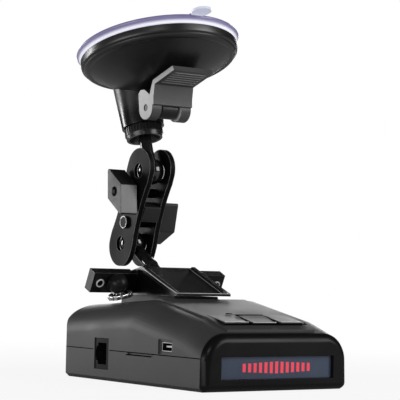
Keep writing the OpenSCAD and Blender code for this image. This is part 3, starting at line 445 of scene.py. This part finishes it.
def refine(node, width):
    """A copy of the node's mesh with edges rounded by width mm, which stands for the node."""
    bm = bmesh.new()
    bm.from_mesh(NODES[node].data)
    bmesh.ops.remove_doubles(bm, verts=bm.verts, dist=WELD)
    bmesh.ops.dissolve_limit(bm, angle_limit=math.radians(FLAT_DEG), verts=bm.verts, edges=bm.edges)
    obj = add_object(node + ".fine", bm, MATERIAL[SLOT_OF[node]])
    if width:
        bevel = obj.modifiers.new("edges", "BEVEL")
        bevel.width = width * MM
        bevel.segments = 2
        bevel.limit_method = "ANGLE"
        bevel.angle_limit = math.radians(BEVEL_DEG)
        # the bevel faces get the painted highlight material
        if node in HIGHLIGHT_PAINTED_EDGES:
            obj.data.materials.append(EDGE_HIGHLIGHT_PAINT)
            bevel.segments = 1
            bevel.material = 1
        bake_modifiers(obj)
    shade(obj)
    if node in OWN_FINISH_AND_PAINTED_LIGHT:
        obj.data.materials[0] = OWN_FINISH_AND_PAINTED_LIGHT[node]
    if node in FLAT_SHADED:
        obj.modifiers.clear()
        obj.data.shade_flat()
    stand_for(obj, node)


for name, obj in NODES.items():
    obj.data.materials.clear()
    obj.data.materials.append(MATERIAL[SLOT_OF[name]])
for node, width in ROUND_MM.items():
    refine(node, width)


# ---------- shapes for small pieces ----------

TREES = {}


def ground(node, x, y):
    """Height of the node's top surface at (x, y), or None beside it."""
    if node not in TREES:
        bm = bmesh.new()
        bm.from_mesh(NODES[node].data)
        TREES[node] = BVHTree.FromBMesh(bm)
        bm.free()
    place = TREES[node].ray_cast(Vector((x, y, 1)), Vector((0, 0, -1)))[0]
    return place.z if place else None


def block(bm, centre, size):
    """A box of size about centre."""
    made = bmesh.ops.create_cube(bm, size=1.0)["verts"]
    bmesh.ops.scale(bm, vec=size, verts=made)
    bmesh.ops.translate(bm, vec=centre, verts=made)


def ribbon(bm, points, side, width):
    """A flat band of the given width along points, spread towards side."""
    half = side * width / 2
    rows = [(bm.verts.new(place - half), bm.verts.new(place + half)) for place in points]
    for (a, b), (c, d) in zip(rows, rows[1:]):
        bm.faces.new((a, b, d, c))


def ball(bm, centre, radius, sides, rings):
    made = bmesh.ops.create_uvsphere(bm, u_segments=sides, v_segments=rings,
                                     radius=radius)["verts"]
    bmesh.ops.translate(bm, vec=centre, verts=made)


def rod(bm, a, b, radius, sides=12):
    """A round bar from a to b with ball ends."""
    span = b - a
    made = bmesh.ops.create_cone(bm, cap_ends=True, segments=sides, radius1=radius,
                                 radius2=radius, depth=span.length)["verts"]
    bmesh.ops.rotate(bm, matrix=span.to_track_quat("Z", "Y").to_matrix(), verts=made)
    bmesh.ops.translate(bm, vec=(a + b) / 2, verts=made)
    for end in (a, b):
        ball(bm, end, radius, sides, 8)


def ring_shape(bm, centre, normal, radius, tube, flat=1.0, sides=32, around=8):
    """A ring of the given tube radius about centre, square to normal."""
    made = []
    for i in range(sides):
        a = math.tau * i / sides
        for j in range(around):
            b = math.tau * j / around
            r = radius + tube * math.cos(b)
            made.append(bm.verts.new((r * math.cos(a), r * math.sin(a), tube * flat * math.sin(b))))
    for i in range(sides):
        for j in range(around):
            n, k = (i + 1) % sides, (j + 1) % around
            bm.faces.new((made[i * around + j], made[n * around + j],
                          made[n * around + k], made[i * around + k]))
    bmesh.ops.rotate(bm, matrix=normal.to_track_quat("Z", "Y").to_matrix(), verts=made)
    bmesh.ops.translate(bm, vec=centre, verts=made)
    bmesh.ops.recalc_face_normals(bm, faces=bm.faces)


# ---------- small pieces ----------

def display_bars():
    """A generic signal meter: one row of upright segments that swells towards its middle."""
    count, row_share, fill = 13, 0.6, 0.55
    end_tall, mid_more, thick, proud = 1.6, 3.4, 0.12, 0.02
    low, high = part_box("display_window")
    mid_z = (low.z + high.z) / 2
    pitch = (high.x - low.x) * row_share / count
    bm = bmesh.new()
    for i in range(count):
        step = i - (count - 1) / 2
        tall = end_tall + mid_more * (1 - abs(step) / count)
        block(bm, (step * pitch, low.y - proud * MM, mid_z), (pitch * fill, thick * MM, tall * MM))
    obj = add_object("signal_bars", bm, MATERIAL["display_glow"])
    soften(obj, 0.05)
    attach(obj, "display_window")


def lever_ridges():
    """Grip ridges across the far end of the lever's blade, painted a paler grey than the lever as
    painted highlights.
    """
    count, first, pitch, side_margin = 6, 12.6, 2.2, 2.2
    blade_start, blade_rise, blade_slope = 9.8, 8.2, 0.0366
    radius, sunk = 0.35 * MM, 0.05
    low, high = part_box("lock_lever")
    half = (high.x - low.x) / 2 - side_margin * MM
    bm = bmesh.new()
    for i in range(count):
        out = first + pitch * i
        rise = blade_rise + (out - blade_start) * blade_slope
        centre = PIVOT - CUP_ACROSS * (out * MM) + CUP_AXIS * ((rise - sunk) * MM)
        made = bmesh.ops.create_cone(bm, cap_ends=True, segments=14, radius1=radius,
                                     radius2=radius, depth=2 * half)["verts"]
        bmesh.ops.rotate(bm, matrix=Matrix.Rotation(math.radians(90), 3, "Y"), verts=made)
        bmesh.ops.translate(bm, vec=centre, verts=made)
    obj = add_object("lever_ridges", bm, RIDGE_HIGHLIGHT_PAINT)
    soften(obj, 0.12)
    attach(obj, "lock_lever")


def key_grooves():
    """Dark gaps round the keys, laid on the raised panel."""
    gap, lift, wide, bar_r, steps = 0.45 * MM, 0.55 * MM, 0.9 * MM, 0.24 * MM, 12
    outer_left, outer_right_in, outer_right_out, tick = 6 * MM, 9 * MM, 4 * MM, 2.4 * MM
    (l0, l1), (c0, c1), (r0, r1) = [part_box(n) for n in KEYS]
    free_x = r1.x + 1.4 * MM
    front, rear_mid, rear_out = c0.y, c1.y, l1.y
    bm = bmesh.new()

    def on_panel(x, y):
        return Vector((x, y, ground("top_cover", free_x, y) + lift))

    def across(x0, x1, y):
        rod(bm, on_panel(x0, y), on_panel(x1, y), bar_r, 8)

    def down(x, y0, y1):
        places = [on_panel(x, y0 + (y1 - y0) * i / steps) for i in range(steps + 1)]
        ribbon(bm, places, Vector((1, 0, 0)), wide)

    for low, high in ((l0, l1), (c0, c1), (r0, r1)):
        across(low.x - gap, high.x + gap, front - gap)
    across(c0.x - gap, c1.x + gap, rear_mid + gap)
    across(l1.x - tick, l1.x + gap, rear_out)
    down(l0.x - gap, front - gap, front + outer_left)
    down(l1.x + gap, front - gap, rear_out)
    down(c0.x - gap, front - gap, rear_mid + gap)
    down(c1.x + gap, front - gap, rear_mid + gap)
    down(r0.x - gap, front - gap, front + outer_right_in)
    down(r1.x + gap, front - gap, front + outer_right_out)
    obj = add_object("key_grooves", bm, GAP_AND_SHADE)
    attach(obj, "top_cover")


def key_crests():
    """A painted highlight: a bright line along the front edge of each key."""
    side, inwards, probe, lift, steps = 0.7 * MM, 0.3 * MM, 0.6 * MM, 0.02 * MM, 8
    for node in KEYS:
        low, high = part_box(node)
        top = ground(node, (low.x + high.x) / 2, low.y + probe) + lift
        span = high.x - low.x - 2 * side
        crest = [Vector((low.x + side + span * i / steps, low.y + inwards, top))
                 for i in range(steps + 1)]
        bm = bmesh.new()
        for a, b in zip(crest, crest[1:]):
            rod(bm, a, b, 0.2 * MM, 8)
        obj = add_object(node + ".crest", bm, EDGE_HIGHLIGHT_PAINT)
        shade(obj)
        attach(obj, node)


def seam():
    """Dark parting line round the case, open at the jack, with the latch recess's lower edge."""
    z, out, corner, wide, clear = 13.8 * MM, 0.03 * MM, 3 * MM, 0.4 * MM, 0.3 * MM
    recess_front, recess_rear, recess_drop, recess_wide = -17 * MM, 3 * MM, 1.1 * MM, 0.55 * MM
    low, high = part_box("top_cover")
    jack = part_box("power_jack")
    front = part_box("front_bezel")[1].y + clear
    left, right, rear = low.x, high.x, high.y
    up = Vector((0, 0, 1))

    def turn(cx, a0, a1):
        angles = [math.radians(a0 + (a1 - a0) * i / 6) for i in range(7)]
        return [Vector((cx + math.cos(a) * (corner + out),
                        rear - corner + math.sin(a) * (corner + out), z)) for a in angles]

    def on_left(y, drop=0):
        return Vector((left - out, y, z - drop))

    bm = bmesh.new()
    ribbon(bm, [on_left(front), on_left(jack[0].y - MM)], up, wide)
    ribbon(bm, [on_left(jack[1].y + MM), *turn(left + corner, 180, 90),
                *turn(right - corner, 90, 0), Vector((right + out, front, z))], up, wide)
    ribbon(bm, [on_left(recess_front, recess_drop), on_left(recess_rear, recess_drop)],
           up, recess_wide)
    obj = add_object("seam_line", bm, GAP_AND_SHADE)
    attach(obj, "top_cover")


def nut_beads():
    """Round chrome beads on the locking nut's rim."""
    count, above_foot, ring_r, bead_r = 10, 2.7 * MM, 4.65, 1.35 * MM
    axis = Vector(JOINT["locking_nut_turn"]["axis"]).normalized()
    pin = Vector(JOINT["locking_nut_turn"]["pos_m"])
    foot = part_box("locking_nut")[0].z
    hub = pin + axis * ((foot + above_foot - pin.z) / axis.z)
    u = axis.orthogonal().normalized()
    v = axis.cross(u)
    bm = bmesh.new()
    for i in range(count):
        a = math.tau * i / count
        ball(bm, hub + (u * math.cos(a) + v * math.sin(a)) * ring_r * MM, bead_r, 16, 10)
    obj = add_object("nut_beads", bm, MATERIAL["nut_chrome"])
    shade(obj)
    attach(obj, "locking_nut")


def sheet_edge_highlights():
    """Painted highlights as bright rods on the bracket's bent sheet: along its rolled edges and
    foot, and two pressed lines.
    """
    inset, r, foot_in = 0.15 * MM, 0.3 * MM, 0.6 * MM
    line_in, line_foot, line_top = 3.2 * MM, 2.2 * MM, 0.8 * MM
    low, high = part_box("bracket_plate")
    left, right = low.x + inset, high.x - inset
    apex_y = max((v.co for v in NODES["bracket_plate"].data.vertices), key=lambda c: c.z).y
    top = ground("bracket_plate", 0, apex_y)
    foot_y = low.y + foot_in
    foot = (ground("bracket_plate", low.x + 0.5 * MM, foot_y)
            or ground("bracket_plate", 0, foot_y))
    bm = bmesh.new()
    rod(bm, Vector((right, foot_y, foot)), Vector((right, apex_y, top)), r)
    rod(bm, Vector((left, foot_y, foot)), Vector((right, foot_y, foot)), r * 0.6)
    for x in (low.x + line_in, high.x - line_in):
        ends = [Vector((x, y, ground("bracket_plate", (low.x + high.x) / 2, y)))
                for y in (foot_y + line_foot, apex_y - line_top)]
        rod(bm, *ends, r * 0.45, 8)
    obj = add_object("sheet_edge_highlights", bm, EDGE_HIGHLIGHT_PAINT)
    shade(obj)
    attach(obj, "bracket_plate")
    bm = bmesh.new()
    # a brighter painted highlight along the left edge, in the tinned steel's near white
    rod(bm, Vector((left, foot_y, foot)), Vector((left, apex_y, top)), r * 0.9)
    obj = add_object("sheet_left_edge_highlight", bm, MATERIAL["tin"])
    shade(obj)
    attach(obj, "bracket_plate")


def cup_lip():
    """The cup's rolled lip, just inside its edge."""
    below_rim, lip_r, tube_r, flat = 3.8, 33.9 * MM, 2.5 * MM, 0.8
    rim = reach_of("suction_housing", CUP_AXIS)[1]
    hub = CUP_AXIS * rim + CUP_ACROSS * (PAD_EDGE - PAD_R)
    bm = bmesh.new()
    ring_shape(bm, hub - CUP_AXIS * below_rim * MM, CUP_AXIS, lip_r, tube_r, flat, 96, 20)
    obj = add_object("cup_lip", bm, MATERIAL["cup_black"])
    shade(obj)
    attach(obj, "suction_housing")


def usb_back():
    """Painted shade: a dark block at the back of the USB socket's cavity."""
    from_back, thick, frame_wide = 1.0 * MM, 0.5 * MM, 0.9 * MM
    low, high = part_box("usb_port")
    mid = (low + high) / 2
    bm = bmesh.new()
    block(bm, (high.x - from_back, mid.y, mid.z),
          (thick, high.y - low.y - frame_wide, high.z - low.z - frame_wide))
    obj = add_object("usb_back", bm, GAP_AND_SHADE)
    attach(obj, "usb_port")


def bolt_rings():
    """Painted highlights on the rims of the clamp bolts' heads, on the plates' outer sides."""
    inwards, tube_r, flat = 0.25 * MM, 0.22 * MM, 0.5
    for node in ("lower_clamp_bolt", "upper_clamp_bolt"):
        low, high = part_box(node)
        mid = (low + high) / 2
        bm = bmesh.new()
        for x in (low.x, high.x):
            ring_shape(bm, Vector((x, mid.y, mid.z)), Vector((1, 0, 0)),
                       (high.z - low.z) / 2 - inwards, tube_r, flat)
        obj = add_object(node + ".rims", bm, EDGE_HIGHLIGHT_PAINT)
        shade(obj)
        attach(obj, node)


def screw_rings():
    """Bright washers round the two bar screws, square to the screws' front faces."""
    from_end, near, front_y, lift = 1.7 * MM, 3 * MM, -0.7, 0.35
    washer_r, tube_r = 1.75 * MM, 0.35 * MM
    node = NODES["bar_screws"]
    low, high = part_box("bar_screws")
    bm = bmesh.new()
    for x in (low.x + from_end, high.x - from_end):
        faces = [f for f in node.data.polygons
                 if abs(f.center.x - x) < near and f.normal.y < front_y]
        total = sum(f.area for f in faces)
        normal = sum((f.normal * f.area for f in faces), Vector()).normalized()
        centre = sum((f.center * f.area for f in faces), Vector()) / total
        centre = Vector((x, *centre.yz)) + normal * lift * MM
        ring_shape(bm, centre, normal, washer_r, tube_r, 1.0, 24)
    obj = add_object("screw_rings", bm, MATERIAL["tin"])
    shade(obj)
    attach(obj, "bar_screws")


display_bars()
lever_ridges()
key_grooves()
key_crests()
seam()
nut_beads()
sheet_edge_highlights()
cup_lip()
usb_back()
bolt_rings()
screw_rings()


# ---------- stage ----------

def make_floor():
    """Matt pale floor that melts into the white studio away from the object."""
    half_size, below = 6, 0.0002
    bounce_grey = (0.85, 0.85, 0.85)
    near_white, near, far = 0.9, 0.12, 0.4
    bm = bmesh.new()
    bmesh.ops.create_grid(bm, x_segments=8, y_segments=8, size=half_size)
    mat, tree, shader = new_material("floor")
    shader.inputs["Roughness"].default_value = 0.9
    shader.inputs["Specular IOR Level"].default_value = 0.1
    seen = tree.nodes.new("ShaderNodeLightPath").outputs["Is Camera Ray"]
    tone = blend(tree, noise(tree, 3, 2.0), (0.84, 0.84, 0.84), (0.88, 0.88, 0.88))
    tree.links.new(blend(tree, seen, bounce_grey, tone), shader.inputs["Base Color"])
    white = tree.nodes.new("ShaderNodeEmission")
    white.inputs["Color"].default_value = (1, 1, 1, 1)
    white.inputs["Strength"].default_value = 1.0
    fade = remap(tree, vector_calc(tree, "LENGTH", coordinate(tree)), near_white, 1.0, near, far)
    mix = tree.nodes.new("ShaderNodeMixShader")
    tree.links.new(calc(tree, "MULTIPLY", fade, seen), mix.inputs["Fac"])
    tree.links.new(shader.outputs[0], mix.inputs[1])
    tree.links.new(white.outputs[0], mix.inputs[2])
    tree.links.new(mix.outputs[0], tree.nodes["Material Output"].inputs["Surface"])
    floor = add_object("floor", bm, mat)
    floor.location.z = cad_box[0].z - below


def make_world():
    """White for the camera, nearly dark for everything else, so the softboxes shape the blacks."""
    dim, white = 0.04, 1.0
    world = bpy.data.worlds.new("studio")
    world.use_nodes = True
    tree = world.node_tree
    tree.nodes.clear()
    out = tree.nodes.new("ShaderNodeOutputWorld")
    mix = tree.nodes.new("ShaderNodeMixShader")
    path = tree.nodes.new("ShaderNodeLightPath")
    tree.links.new(path.outputs["Is Camera Ray"], mix.inputs["Fac"])
    for place, strength in ((1, dim), (2, white)):
        back = tree.nodes.new("ShaderNodeBackground")
        back.inputs["Color"].default_value = (1, 1, 1, 1)
        back.inputs["Strength"].default_value = strength
        tree.links.new(back.outputs[0], mix.inputs[place])
    tree.links.new(mix.outputs[0], out.inputs["Surface"])
    bpy.context.scene.world = world


def softbox(name, place, target, size, power):
    """A rectangular lamp at place, aimed at target: size is its width and height."""
    data = bpy.data.lights.new(name, "AREA")
    data.shape = "RECTANGLE"
    data.size, data.size_y = size
    data.energy = power
    lamp = bpy.data.objects.new(name, data)
    bpy.context.scene.collection.objects.link(lamp)
    lamp.location = place
    aim = Vector(target) - Vector(place)
    lamp.rotation_mode = "QUATERNION"
    lamp.rotation_quaternion = aim.to_track_quat("-Z", "Y")
    lamp.visible_camera = False


def make_camera(place_mm, azimuth, elevation, roll, lens):
    """A camera whose view is turned to azimuth and elevation, and rolled, in degrees."""
    a, e, r = (math.radians(v) for v in (azimuth, elevation, roll))
    back = Vector((math.sin(a) * math.cos(e), -math.cos(a) * math.cos(e), math.sin(e)))
    right = Vector((math.cos(a), math.sin(a), 0))
    up = back.cross(right)
    right, up = right * math.cos(r) + up * math.sin(r), up * math.cos(r) - right * math.sin(r)
    data = bpy.data.cameras.new("camera")
    data.sensor_width = 36
    data.lens = lens
    data.clip_start = 0.01
    cam = bpy.data.objects.new("camera", data)
    bpy.context.scene.collection.objects.link(cam)
    turn = Matrix((right, up, back)).transposed().to_4x4()
    cam.matrix_world = Matrix.Translation(Vector(place_mm) * MM) @ turn
    bpy.context.scene.camera = cam


make_floor()
make_world()
softbox("left_box", (-0.92, -0.2, 0.12), (0, 0, 0.0), size=(0.7, 0.22), power=2.0)
softbox("left_rear_box", (-0.5, 0.95, 0.15), (0, 0.03, 0.06), size=(0.3, 0.3), power=1.55)
softbox("rear_box", (0.56, 0.8, 0.3), (0, 0, 0.04), size=(0.7, 0.34), power=2.2)
softbox("front_right_box", (0.52, -0.74, 0.42), (0, 0, 0.09), size=(0.5, 0.5), power=3.8)
softbox("front_high_box", (-0.5, -0.66, 0.5), (0, 0.03, 0.1), size=(0.06, 0.06), power=0.6)
softbox("neck_strip", (-0.5, 0.84, 0.2), (0, 0.05, 0.12), size=(0.06, 0.3), power=0.9)
make_camera((-420.2, -589.9, 47.95), azimuth=-35.29, elevation=-2.70, roll=1.29, lens=144.15)
bpy.context.scene.view_settings.view_transform = "Standard"
